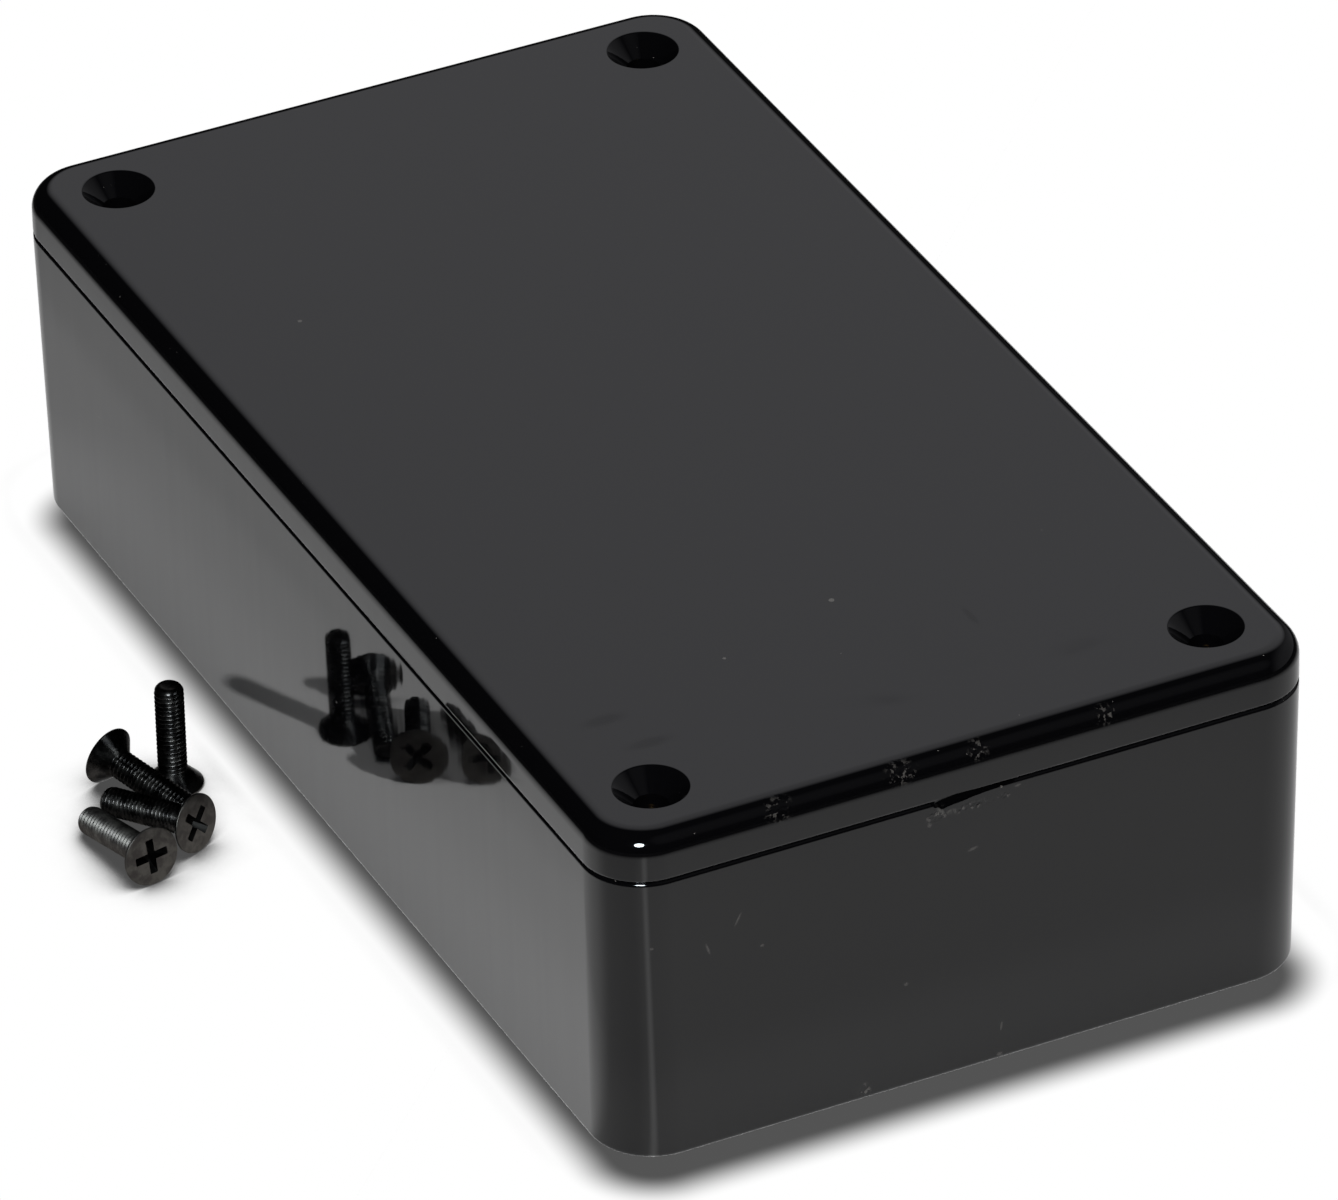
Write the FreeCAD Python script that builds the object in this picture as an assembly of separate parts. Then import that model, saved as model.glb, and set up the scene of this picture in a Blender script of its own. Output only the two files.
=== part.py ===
import FreeCAD
import Part
import math
import os

# Plastic project box with a screwed lid, all sizes in millimetres.
# +Z is up, +Y runs along the box and the origin is the middle of its underside.
# The lid is on, its four screws are out and lie in a small heap beside a long wall.

Vector = FreeCAD.Vector
UP = Vector(0, 0, 1)

# Box, outside
box_length = 140.0
box_width = 75.7
base_height = 32.0
lid_height = 5.1
corner_radius = 6.2
foot_corner_radius = 6.6
wall_draft = 0.36
lid_edge_radius = 2.1
foot_chamfer = 0.6
seam_chamfer = 0.3

# Box, inside
wall = 2.4
floor_thickness = 2.4
lid_plate = 2.4
floor_chamfer = 0.8

# Locating lip under the lid
lip_depth = 1.6
lip_thickness = 1.2
lip_clearance = 0.15

# Screw posts and the holes in the lid above them
screw_inset = 8.25
post_radius = 4.0
post_web = 1.4
post_seat_gap = 0.2
web_below_lip = 0.6
lid_boss_radius = 4.6
sink_radius = 3.7
sink_edge_chamfer = 0.15
screw_clearance = 0.2
pilot_radius = 1.8
pilot_depth = 12.0

# Threaded brass insert in each post
insert_radius = 2.3
insert_length = 5.8
insert_groove = 0.25
insert_groove_width = 1.0
insert_press_clearance = 0.03
thread_depth = 0.25

# Card guides: pairs of ribs on the inside of the walls
rib_thickness = 1.2
rib_reach = 1.5
card_slot = 1.8
guide_pitch_long = 18.0
guide_count_long = 5
guide_pitch_short = 22.0
guide_count_short = 2
rib_below_rim = 4.0

# Nick left by the sprue on the rim of one short wall
nick_left = -4.2
nick_length = 8.9
nick_height = 0.7
nick_tail = 0.1
nick_run_in = 1.2
nick_depth = 0.8

# Countersunk screw with a cross recess
screw_length = 11.7
screw_radius = 1.5
screw_head_radius = 3.05
screw_head_land = 0.2
screw_tip_chamfer = 0.7
cross_length = 3.7
cross_width = 0.85
cross_depth = 1.2
cross_foot_length = 1.9
cross_foot_width = 0.6

# Heap of screws: distance of each head from the long wall, its place along the box,
# the way the tip points and how the cross is turned
stand_off = 9.9
stand_y = 11.4
front_off = 18.9
front_y = -3.75
front_heading = 99.6
front_spin = -2.0
back_off = 12.6
back_y = -0.5
back_heading = 117.0
back_spin = 47.0
far_off = 15.45
far_y = 14.85
far_heading = -69.0
far_spin = 30.0

# Places worked out from the sizes above
box_height = base_height + lid_height
half_length = box_length / 2
half_width = box_width / 2
post_top = base_height - post_seat_gap
post_x = half_width - screw_inset
post_y = half_length - screw_inset
hole_radius = screw_radius + screw_clearance
lip_bottom = base_height - lip_depth
lip_offset = wall + lip_clearance
lid_ceiling = box_height - lid_plate
overlap = wall / 2
same_height = 0.01


def rounded_outline(inset, radius, z):
    """A closed rectangle with round corners, drawn inside the box's plan."""
    x = half_width - inset - radius
    y = half_length - inset - radius
    arcs = []
    for quarter, centre in enumerate([(x, y), (-x, y), (-x, -y), (x, -y)]):
        circle = Part.Circle(Vector(centre[0], centre[1], z), UP, radius)
        start = quarter * math.pi / 2
        arcs.append(Part.ArcOfCircle(circle, start, start + math.pi / 2).toShape())
    edges = []
    for arc, following in zip(arcs, arcs[1:] + arcs[:1]):
        edges.append(arc)
        edges.append(Part.makeLine(arc.lastVertex().Point, following.firstVertex().Point))
    return Part.Wire(edges)


def stacked_block(*sections):
    """A block with round corners through sections given as inset, corner radius and height."""
    outlines = [rounded_outline(inset, radius, z) for inset, radius, z in sections]
    return Part.makeLoft(outlines, True, True)


def straight_block(inset, radius, low_z, high_z):
    return stacked_block((inset, radius, low_z), (inset, radius, high_z))


def edges_at(shape, z):
    """The edges of a shape that lie wholly at one height."""
    found = []
    for edge in shape.Edges:
        box = edge.BoundBox
        if abs(box.ZMin - z) < same_height and abs(box.ZMax - z) < same_height:
            found.append(edge)
    return found


def block(x0, x1, y0, y1, z0, z1):
    """A plain block between two corners, given in either order."""
    low = Vector(min(x0, x1), min(y0, y1), z0)
    return Part.makeBox(abs(x1 - x0), abs(y1 - y0), z1 - z0, low)


def turned(profile):
    """A solid turned about Z from points given as radius and height."""
    points = [Vector(radius, 0, z) for radius, z in profile]
    face = Part.Face(Part.makePolygon(points + points[:1]))
    return face.revolve(Vector(0, 0, 0), UP, 360)


def corners():
    return [(sx, sy) for sx in (-1, 1) for sy in (-1, 1)]


# Base
def wall_face_at(z):
    """How far the inner face of a wall stands in from the plan at a height."""
    return wall + wall_draft * (1 - z / base_height)


def base_shell():
    """The open tray: drafted walls, rounded corners and a flat floor."""
    outside = stacked_block(
        (wall_draft + foot_chamfer, foot_corner_radius - foot_chamfer, 0),
        (wall_draft, foot_corner_radius, foot_chamfer),
        (0, corner_radius, base_height - seam_chamfer),
        (seam_chamfer, corner_radius - seam_chamfer, base_height))
    low_inset = wall_face_at(floor_thickness)
    low_radius = foot_corner_radius - wall
    inside = stacked_block(
        (low_inset + floor_chamfer, low_radius - floor_chamfer, floor_thickness),
        (low_inset, low_radius, floor_thickness + floor_chamfer),
        (wall, corner_radius - wall, base_height))
    return outside.cut(inside)


def screw_post(sx, sy):
    """A round post tied to both walls of its corner by thin webs."""
    x = sx * post_x
    y = sy * post_y
    root = floor_thickness / 2
    web_top = lip_bottom - web_below_lip
    half_web = post_web / 2
    post = Part.makeCylinder(post_radius, post_top - root, Vector(x, y, root))
    to_side = block(x, sx * (half_width - overlap), y - half_web, y + half_web, root, web_top)
    to_end = block(x - half_web, x + half_web, y, sy * (half_length - overlap), root, web_top)
    return post.fuse([to_side, to_end])


def post_bore(sx, sy):
    """The pocket for the insert, with a narrower pilot hole under it."""
    x = sx * post_x
    y = sy * post_y
    pocket_radius = insert_radius + insert_press_clearance
    pocket = Part.makeCylinder(pocket_radius, insert_length, Vector(x, y, post_top - insert_length))
    pilot = Part.makeCylinder(pilot_radius, pilot_depth, Vector(x, y, post_top - pilot_depth))
    return pocket.fuse(pilot)


def rib_spans(count, pitch):
    """Where each rib starts and ends along its wall, two ribs to a slot."""
    spans = []
    for place in range(count):
        middle = (place - (count - 1) / 2) * pitch
        for edge in (-1, 1):
            near = middle + edge * card_slot / 2
            spans.append((near, near + edge * rib_thickness))
    return spans


def card_guides():
    """Pairs of upright ribs that hold the edges of a circuit board."""
    low = floor_thickness / 2
    high = base_height - rib_below_rim
    reach = wall_face_at(floor_thickness) + rib_reach
    ribs = []
    for side in (-1, 1):
        root = side * (half_width - overlap)
        tip = side * (half_width - reach)
        for near, far in rib_spans(guide_count_long, guide_pitch_long):
            ribs.append(block(root, tip, near, far, low, high))
        root = side * (half_length - overlap)
        tip = side * (half_length - reach)
        for near, far in rib_spans(guide_count_short, guide_pitch_short):
            ribs.append(block(near, far, root, tip, low, high))
    return ribs


def sprue_nick():
    """A shallow broken wedge in the rim of the near short wall."""
    front = -half_length - nick_depth
    top = base_height + nick_depth
    outline = [
        (nick_left, top),
        (nick_left, base_height - nick_tail),
        (nick_left + nick_run_in, base_height - nick_height),
        (nick_left + nick_length, base_height - nick_tail),
        (nick_left + nick_length, top),
    ]
    points = [Vector(x, front, z) for x, z in outline]
    face = Part.Face(Part.makePolygon(points + points[:1]))
    return face.extrude(Vector(0, 2 * nick_depth, 0))


def make_base():
    posts = [screw_post(sx, sy) for sx, sy in corners()]
    base = base_shell().fuse(posts + card_guides())
    base = base.cut([post_bore(sx, sy) for sx, sy in corners()] + [sprue_nick()])
    return base.removeSplitter()


# Lid
def screw_hole(sx, sy):
    """A countersunk hole right through the lid."""
    sink_depth = sink_radius - hole_radius
    mouth_radius = sink_radius + sink_edge_chamfer
    profile = [
        (0, lip_bottom),
        (hole_radius, lip_bottom),
        (hole_radius, box_height - sink_depth),
        (sink_radius - sink_edge_chamfer, box_height - sink_edge_chamfer),
        (mouth_radius, box_height),
        (mouth_radius, box_height + overlap),
        (0, box_height + overlap),
    ]
    hole = turned(profile)
    hole.translate(Vector(sx * post_x, sy * post_y, 0))
    return hole


def make_lid():
    """A shallow cover with a rounded top edge and a lip that drops inside the walls."""
    cover = straight_block(0, corner_radius, base_height, box_height)
    cover = cover.makeFillet(lid_edge_radius, edges_at(cover, box_height))
    cover = cover.makeChamfer(seam_chamfer, edges_at(cover, base_height))
    lip = straight_block(lip_offset, corner_radius - lip_offset, lip_bottom, base_height + overlap)
    hollow_inset = lip_offset + lip_thickness
    hollow = straight_block(hollow_inset, corner_radius - hollow_inset, lip_bottom, lid_ceiling)
    bosses = []
    for sx, sy in corners():
        place = Vector(sx * post_x, sy * post_y, base_height)
        bosses.append(Part.makeCylinder(lid_boss_radius, lid_height - lid_plate / 2, place))
    lid = cover.fuse(lip).cut(hollow)
    inner = straight_block(lip_offset, corner_radius - lip_offset, base_height, box_height)
    lid = lid.fuse([boss.common(inner) for boss in bosses])
    lid = lid.cut([screw_hole(sx, sy) for sx, sy in corners()])
    return lid.removeSplitter()


# Inserts
def make_insert(sx, sy):
    """A threaded sleeve with a groove round its waist, flush with the post."""
    bore_radius = screw_radius - thread_depth
    waist = insert_radius - insert_groove
    low = insert_length / 2 - insert_groove_width / 2
    high = insert_length / 2 + insert_groove_width / 2
    profile = [
        (bore_radius, 0),
        (insert_radius, 0),
        (insert_radius, low),
        (waist, low),
        (waist, high),
        (insert_radius, high),
        (insert_radius, insert_length),
        (bore_radius + thread_depth, insert_length),
        (bore_radius, insert_length - thread_depth),
    ]
    insert = turned(profile)
    insert.translate(Vector(sx * post_x, sy * post_y, post_top - insert_length))
    return insert


# Screws, modelled standing on the head with the tip up
def cross_slot():
    """One arm pair of the recess, narrower at its foot."""
    mouth = (cross_length / 2, cross_width / 2)
    foot = (cross_foot_length / 2, cross_foot_width / 2)
    slot = Part.makeWedge(
        -mouth[0], 0, -mouth[1], -foot[1], -foot[0],
        mouth[0], cross_depth, mouth[1], foot[1], foot[0])
    slot.rotate(Vector(0, 0, 0), Vector(1, 0, 0), 90)
    return slot


def screw_blank():
    """The turned body: flat head face, cone, plain shank and chamfered tip."""
    cone = screw_head_radius - screw_radius
    profile = [
        (0, 0),
        (screw_head_radius, 0),
        (screw_head_radius, screw_head_land),
        (screw_radius, screw_head_land + cone),
        (screw_radius, screw_length - screw_tip_chamfer),
        (screw_radius - screw_tip_chamfer, screw_length),
        (0, screw_length),
    ]
    return turned(profile)


def make_screw():
    slot = cross_slot()
    other = slot.copy()
    other.rotate(Vector(0, 0, 0), UP, 90)
    return screw_blank().cut([slot, other])


def laid(shape, spin, tilt, heading, place):
    """Turns a screw about its own axis, tips it over by an angle, points it and puts it down."""
    result = shape.copy()
    result.rotate(Vector(0, 0, 0), UP, spin)
    result.rotate(Vector(0, 0, 0), Vector(0, 1, 0), tilt)
    result.rotate(Vector(0, 0, 0), UP, heading)
    result.translate(place)
    return result


def heap_place(off, y, z):
    return Vector(-half_width - off, y, z)


def lying(shape, spin, heading, off, y):
    """Rests a screw on the rim of its head and the end of its shank."""
    drop = screw_head_radius - screw_radius
    run = screw_length - screw_tip_chamfer - screw_head_land
    tilt = math.atan2(drop, run)
    height = screw_head_land * math.sin(tilt) + screw_head_radius * math.cos(tilt)
    return laid(shape, spin, 90 + math.degrees(tilt), heading, heap_place(off, y, height))


def screw_heap():
    """The four lid screws as they lie beside the box: one on its head and three on their sides."""
    screw = make_screw()
    return {
        "screw_standing": laid(screw, 0, 0, 0, heap_place(stand_off, stand_y, 0)),
        "screw_front": lying(screw, front_spin, front_heading, front_off, front_y),
        "screw_back": lying(screw, back_spin, back_heading, back_off, back_y),
        "screw_far": lying(screw, far_spin, far_heading, far_off, far_y),
    }


def all_parts():
    parts = {"base": make_base(), "lid": make_lid()}
    names = ["left_near", "left_far", "right_near", "right_far"]
    for name, corner in zip(names, corners()):
        parts["insert_" + name] = make_insert(*corner)
    parts.update(screw_heap())
    return parts


os.makedirs("parts", exist_ok=True)
for name, shape in all_parts().items():
    shape.exportStep("parts/" + name + ".step")
    print(name, "valid", shape.isValid(), "solids", len(shape.Solids), "volume", round(shape.Volume, 1))
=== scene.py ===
# %% [markdown]
# # A plastic project box with its lid screws taken out
#
# The real object is an injection-moulded enclosure for electronics: a deep tray, a shallow lid with
# four countersunk corner holes, and four small black screws that lie in a heap beside a long wall.
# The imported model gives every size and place. This file gives the looks: round edges that catch the
# light, real screw threads, and materials with the marks that moulding, dust and handling leave.

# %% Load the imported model
import math

import bmesh
import bpy
from mathutils import Matrix, Vector


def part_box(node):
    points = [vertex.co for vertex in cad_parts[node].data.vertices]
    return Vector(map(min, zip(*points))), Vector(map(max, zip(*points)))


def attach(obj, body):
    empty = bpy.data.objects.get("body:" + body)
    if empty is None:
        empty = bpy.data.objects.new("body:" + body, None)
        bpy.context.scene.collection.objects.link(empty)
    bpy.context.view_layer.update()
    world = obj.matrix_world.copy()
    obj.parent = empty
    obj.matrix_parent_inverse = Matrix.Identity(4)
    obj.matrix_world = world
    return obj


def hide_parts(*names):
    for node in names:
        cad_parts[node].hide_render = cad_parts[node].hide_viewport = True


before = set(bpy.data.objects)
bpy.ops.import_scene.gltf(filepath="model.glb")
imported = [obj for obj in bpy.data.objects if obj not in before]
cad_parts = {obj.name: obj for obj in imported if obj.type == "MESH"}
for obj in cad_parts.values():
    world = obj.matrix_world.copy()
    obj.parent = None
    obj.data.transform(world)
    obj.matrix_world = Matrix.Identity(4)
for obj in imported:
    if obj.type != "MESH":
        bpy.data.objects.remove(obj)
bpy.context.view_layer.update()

# %% [markdown]
# ## Sizes
#
# Blender works in metres, but a moulded box is drawn in millimetres, so every mesh below is made in
# millimetres and is scaled once, when it is finished. The outer sizes are read from the packed
# pieces. Walls and clearances are the same values that the pieces were designed with. The edges of
# the lid and of the seam are a little rounder, as the photograph shows them.

# %% Read the outer sizes and name the small ones
MM = 0.001

base_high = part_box("base")[1] / MM
lid_low, lid_high = [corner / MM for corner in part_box("lid")]
half_width = base_high.x
half_length = base_high.y
base_height = base_high.z
box_height = lid_high.z
lip_bottom = lid_low.z

corner_radius = 6.2
foot_corner_radius = 6.6
wall_draft = 0.36
wall = 2.4
floor_thickness = 2.4
lid_plate = 2.4

lid_edge_radius = 2.4
foot_edge_radius = 0.6
seam_edge_radius = 0.42
floor_edge_radius = 0.8
rim_edge_radius = 0.15

print("box", round(2 * half_length, 1), "x", round(2 * half_width, 1), "x", round(box_height, 1), "mm")

# %% [markdown]
# ## Rounded blocks
#
# A moulded box is a stack of outlines with round corners: a little smaller at the foot so that it
# leaves the mould, and pulled in step by step where an edge is rounded over. Each outline is a flat
# face whose four corners are bevelled, and neighbouring outlines are bridged with a ring of faces.
# This gives true arcs at the corners and an edge rounding of any size without a modifier.

# %% Stack outlines into a block
corner_steps = 14
edge_steps = 5
merge_distance = 0.0001


def outline(bm, inset, radius, height):
    """Draws one face with round corners inside the box's plan and returns it."""
    seen = set(bm.faces)
    sheet = bmesh.ops.create_grid(bm, x_segments=1, y_segments=1, size=1)["verts"]
    bmesh.ops.scale(bm, vec=(half_width - inset, half_length - inset, 1), verts=sheet)
    bmesh.ops.translate(bm, vec=(0, 0, height), verts=sheet)
    bmesh.ops.bevel(bm, geom=sheet, offset=radius, segments=corner_steps, profile=0.5,
                    affect="VERTICES", material=-1)
    return next(face for face in bm.faces if face not in seen)


def stacked_block(sections):
    """Bridges outlines, each an inset, a corner radius and a height, into one closed block."""
    bm = bmesh.new()
    sheets = [outline(bm, *section) for section in sections]
    for lower, upper in zip(sheets, sheets[1:]):
        bmesh.ops.bridge_loops(bm, edges=list(lower.edges) + list(upper.edges))
    bmesh.ops.delete(bm, geom=sheets[1:-1], context="FACES_ONLY")
    bmesh.ops.recalc_face_normals(bm, faces=bm.faces[:])
    return bm


def rolls(angle, steps):
    """Angles from zero on in even steps."""
    return [angle * step / steps for step in range(steps + 1)]


def rounded_edge(inset, radius, height, size, side, steps=edge_steps):
    """Outlines of an edge that is rounded over: side is 1 for a top edge and -1 for a foot."""
    sections = []
    for roll in rolls(math.radians(90), steps):
        inward = size * (1 - math.cos(roll))
        drop = size * (1 - math.sin(roll))
        sections.append((inset + inward, radius - inward, height - side * drop))
    return sections if side > 0 else sections[::-1]


# %% [markdown]
# ## Turned and squared tools
#
# Posts, holes, screws and sleeves are round, so they come from a profile that is spun about an
# upright axis. Webs and card guides are plain blocks with softened edges. Solids are then joined and
# cut with exact Booleans, as a mould maker adds cores and cavities: the holes stay clean where they
# break through a rounded edge, which would be hard to bridge by hand. A cutting tool reaches a little
# past what it cuts, so that no two faces lie in one plane.

# %% Spin profiles, draw blocks and combine solids
round_steps = 64
overshoot = 1


def placed(name, data):
    """Makes an object of some data and puts it into the scene."""
    made = bpy.data.objects.new(name, data)
    bpy.context.scene.collection.objects.link(made)
    return made


def tidy(bm):
    """Merges doubled points and turns every face outwards."""
    bmesh.ops.remove_doubles(bm, verts=bm.verts[:], dist=merge_distance)
    bmesh.ops.recalc_face_normals(bm, faces=bm.faces[:])
    return bm


def turned(profile, places=((0, 0),), steps=round_steps):
    """Spins points of radius and height at each place. A profile off the axis is closed."""
    bm = bmesh.new()
    for x, y in places:
        points = [bm.verts.new((x + radius, y, height)) for radius, height in profile]
        edges = [bm.edges.new(pair) for pair in zip(points, points[1:])]
        if profile[0][0] > 0:
            edges.append(bm.edges.new((points[-1], points[0])))
        bmesh.ops.spin(bm, geom=points + edges, cent=(x, y, 0), axis=(0, 0, 1), dvec=(0, 0, 0),
                       angle=math.tau, steps=steps, use_merge=True, use_duplicate=False)
    return tidy(bm)


def block(bm, x_span, y_span, z_span, softness=0.15):
    """Draws a block between pairs of limits, with its edges softened."""
    spans = [sorted(span) for span in (x_span, y_span, z_span)]
    middle = Vector([(low + high) / 2 for low, high in spans])
    size = Vector([high - low for low, high in spans])
    matrix = Matrix.Translation(middle) @ Matrix.Diagonal(size.to_4d())
    cube = bmesh.ops.create_cube(bm, size=1, matrix=matrix)["verts"]
    edges = list({edge for vert in cube for edge in vert.link_edges})
    bmesh.ops.bevel(bm, geom=edges, offset=softness, segments=2, profile=0.5, affect="EDGES",
                    material=-1)


def combine(solid, tool, operation):
    """Joins, cuts or intersects two solids and returns the new one."""
    working = []
    for bm in (solid, tool):
        mesh = bpy.data.meshes.new("working")
        bm.to_mesh(mesh)
        bm.free()
        working.append(placed("working", mesh))
    modifier = working[0].modifiers.new("combine", "BOOLEAN")
    modifier.object = working[1]
    modifier.operation = operation
    modifier.solver = "EXACT"
    evaluated = working[0].evaluated_get(bpy.context.evaluated_depsgraph_get())
    result = bmesh.new()
    result.from_mesh(evaluated.to_mesh())
    evaluated.to_mesh_clear()
    for obj in working:
        mesh = obj.data
        bpy.data.objects.remove(obj)
        bpy.data.meshes.remove(mesh)
    bmesh.ops.remove_doubles(result, verts=result.verts[:], dist=merge_distance)
    return result


# %% [markdown]
# ## Finishing a piece
#
# Every piece ends the same way: it is scaled to metres, shaded smooth with sharp edges kept, and
# given face-weighted normals, so that a big flat face next to a small rounding reflects as a flat
# mirror. Then it rides on its body, gets its material and stands for its imported node, which is
# hidden.

# %% Hand a mesh over to its body
sharp_angle = math.radians(32)


def finished(bm, name, body, node_name, material, place=Matrix()):
    """Makes an object of a mesh drawn in millimetres, and lets it replace a node."""
    bmesh.ops.transform(bm, matrix=Matrix.Scale(MM, 4) @ place, verts=bm.verts[:])
    for face in bm.faces:
        face.smooth = True
    for edge in bm.edges:
        edge.smooth = edge.calc_face_angle(0) < sharp_angle
    open_edges = sum(1 for edge in bm.edges if not edge.is_manifold)
    mesh = bpy.data.meshes.new(name)
    bm.to_mesh(mesh)
    bm.free()
    piece = placed(name, mesh)
    mesh.materials.append(material)
    weighting = piece.modifiers.new("weighted normals", "WEIGHTED_NORMAL")
    weighting.keep_sharp = True
    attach(piece, body)
    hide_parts(node_name)
    print(name, "faces", len(mesh.polygons), "open edges", open_edges)
    return piece


# %% [markdown]
# ## Material helpers
#
# A material is a small graph of nodes. One function adds a node with its settings and links, and one
# turns an sRGB hex code into the linear colour that the shader wants. Patterns read the object's own
# coordinates, which are metres here, so a pattern's scale is one over its real spacing.

# %% Add nodes and colours
def fill(tree, node, inputs):
    """Links each input to a socket or gives it a value."""
    for socket, value in dict(inputs).items():
        if isinstance(value, bpy.types.NodeSocket):
            tree.links.new(value, node.inputs[socket])
        else:
            node.inputs[socket].default_value = value


def add(tree, kind, inputs=(), **settings):
    """Adds one node, sets its options and fills its inputs."""
    made = tree.nodes.new(kind)
    for name, value in settings.items():
        setattr(made, name, value)
    fill(tree, made, inputs)
    return made


def colour(code):
    """The linear colour of an sRGB hex code such as #0a0b0d."""
    parts = [int(code[place:place + 2], 16) / 255 for place in (1, 3, 5)]
    linear = [part / 12.92 if part <= 0.04045 else ((part + 0.055) / 1.055) ** 2.4 for part in parts]
    return (*linear, 1)


def spacing(size):
    """The scale of a pattern that repeats about every so many millimetres."""
    return 1 / (size * MM)


def new_material(name):
    """An empty material, its tree, its shader and the object's coordinates."""
    material = bpy.data.materials.new(name)
    material.use_nodes = True
    tree = material.node_tree
    tree.nodes.clear()
    shader = add(tree, "ShaderNodeBsdfPrincipled")
    add(tree, "ShaderNodeOutputMaterial", {"Surface": shader.outputs[0]})
    return material, tree, shader, add(tree, "ShaderNodeTexCoord").outputs["Object"]


# %% [markdown]
# The rest are the few sums and patterns from which every finish is made. Each returns the socket of
# its result, so that one can be put into another.

# %% Sums and patterns
def band(tree, value, low, high):
    """Zero up to low, one from high on, and smooth between them."""
    made = add(tree, "ShaderNodeMapRange", {"Value": value, "From Min": low, "From Max": high},
               interpolation_type="SMOOTHSTEP", clamp=True)
    return made.outputs["Result"]


def mapped(tree, value, limits, results):
    """Runs straight from one result to the other while the value goes between its limits."""
    made = add(tree, "ShaderNodeMapRange", {
        "Value": value, "From Min": limits[0], "From Max": limits[1],
        "To Min": results[0], "To Max": results[1]})
    return made.outputs["Result"]


def blend(tree, factor, first, second):
    """The colour that goes from one code to another with a factor."""
    made = add(tree, "ShaderNodeMix", {"Factor": factor, "A": colour(first), "B": colour(second)},
               data_type="RGBA")
    return made.outputs["Result"]


def maths(tree, operation, first, second):
    """One sum or comparison of two values."""
    made = add(tree, "ShaderNodeMath", {0: first, 1: second}, operation=operation)
    return made.outputs[0]


def times(tree, first, second):
    return maths(tree, "MULTIPLY", first, second)


def vectors(tree, operation, *given):
    """The same for vectors. A length and a dot product are numbers."""
    made = add(tree, "ShaderNodeVectorMath", dict(enumerate(given)), operation=operation)
    return made.outputs["Value" if operation in ("LENGTH", "DOT_PRODUCT") else "Vector"]


def noise(tree, place, gap, detail, roughness=0.5):
    """Soft noise whose patches lie about a gap in millimetres apart."""
    made = add(tree, "ShaderNodeTexNoise", {
        "Vector": place, "Scale": spacing(gap), "Detail": detail, "Roughness": roughness})
    return made.outputs["Fac"]


def bumped(tree, height, distance, strength=1, **start):
    """The normal of a surface that a height lifts by up to a distance in millimetres."""
    made = add(tree, "ShaderNodeBump", {
        "Height": height, "Strength": strength, "Distance": distance * MM, **start})
    return made.outputs["Normal"]


# %% [markdown]
# ## Gloss black ABS
#
# The housing is ABS, injection moulded in a polished tool and coloured right through, so there is no
# paint to chip: the colour is a deep neutral black and nearly all that the eye sees is reflection. An
# IOR of about 1.53 gives the weak mirror of the top and the strong one of a wall seen at a slant.
# Shrinkage leaves slow waves and bows the long walls, so they mirror what stands beside them
# enlarged. A bowed mesh would change the size, so the bow is only in the normals. Drawing the part
# from the tool leaves faint upright streaks, and dust settles in pale specks. Where a value below is
# a pair, a pattern fades in or out between its two limits.

# %% Patterns of the moulded walls and of the dust
streak_spacing = 2.4
streak_length = 80
level_faces = (0.1, 0.5)
bow_length = 400
bow_middle = 39.5
bow_slope = 0.0417
bow_rise = 0.01
long_sides = (0.6, 0.95)
speck_radius = 0.045
lot_edge = 0.05


def upright_streaks(tree, place, upward):
    """Noise that is stretched along Z and fades out on level faces."""
    stretch = add(tree, "ShaderNodeMapping", {
        "Vector": place,
        "Scale": (spacing(streak_spacing), spacing(streak_spacing), spacing(streak_length))})
    streaks = add(tree, "ShaderNodeTexNoise", {
        "Vector": stretch.outputs["Vector"], "Scale": 1, "Detail": 1, "Roughness": 0.5})
    level = maths(tree, "ABSOLUTE", upward, 0)
    on_walls = maths(tree, "SUBTRACT", 1, band(tree, level, *level_faces))
    return times(tree, streaks.outputs["Fac"], on_walls)


def bowed_walls(tree, place, normal, sideways):
    """The normal with the bow of the long walls, which magnifies what stands beside them."""
    along = add(tree, "ShaderNodeSeparateXYZ", {"Vector": place}).outputs["Y"]
    off_middle = maths(tree, "SUBTRACT", along, bow_middle * MM)
    bow = maths(tree, "COSINE", times(tree, off_middle, math.tau / (bow_length * MM)), 0)
    on_sides = band(tree, maths(tree, "ABSOLUTE", sideways, 0), *long_sides)
    step = add(tree, "ShaderNodeCombineXYZ", {
        "Y": times(tree, times(tree, bow, on_sides), -bow_slope), "Z": times(tree, on_sides, bow_rise)})
    return vectors(tree, "NORMALIZE", vectors(tree, "ADD", normal, step.outputs["Vector"]))


def dust(tree, place, gap, share):
    """Pale specks of uneven size, a gap apart, in only a share of the places."""
    cells = add(tree, "ShaderNodeTexVoronoi", {"Vector": place, "Scale": spacing(gap)})
    lot = add(tree, "ShaderNodeSeparateColor", {"Color": cells.outputs["Color"]})
    radius = times(tree, lot.outputs["Green"], 2 * speck_radius)
    near = maths(tree, "LESS_THAN", cells.outputs["Distance"], radius)
    chosen = band(tree, lot.outputs["Red"], 1 - share, 1 + lot_edge - share)
    return times(tree, near, chosen)


print("bow", bow_length, "mm, streaks", streak_spacing, "mm apart")
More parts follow.
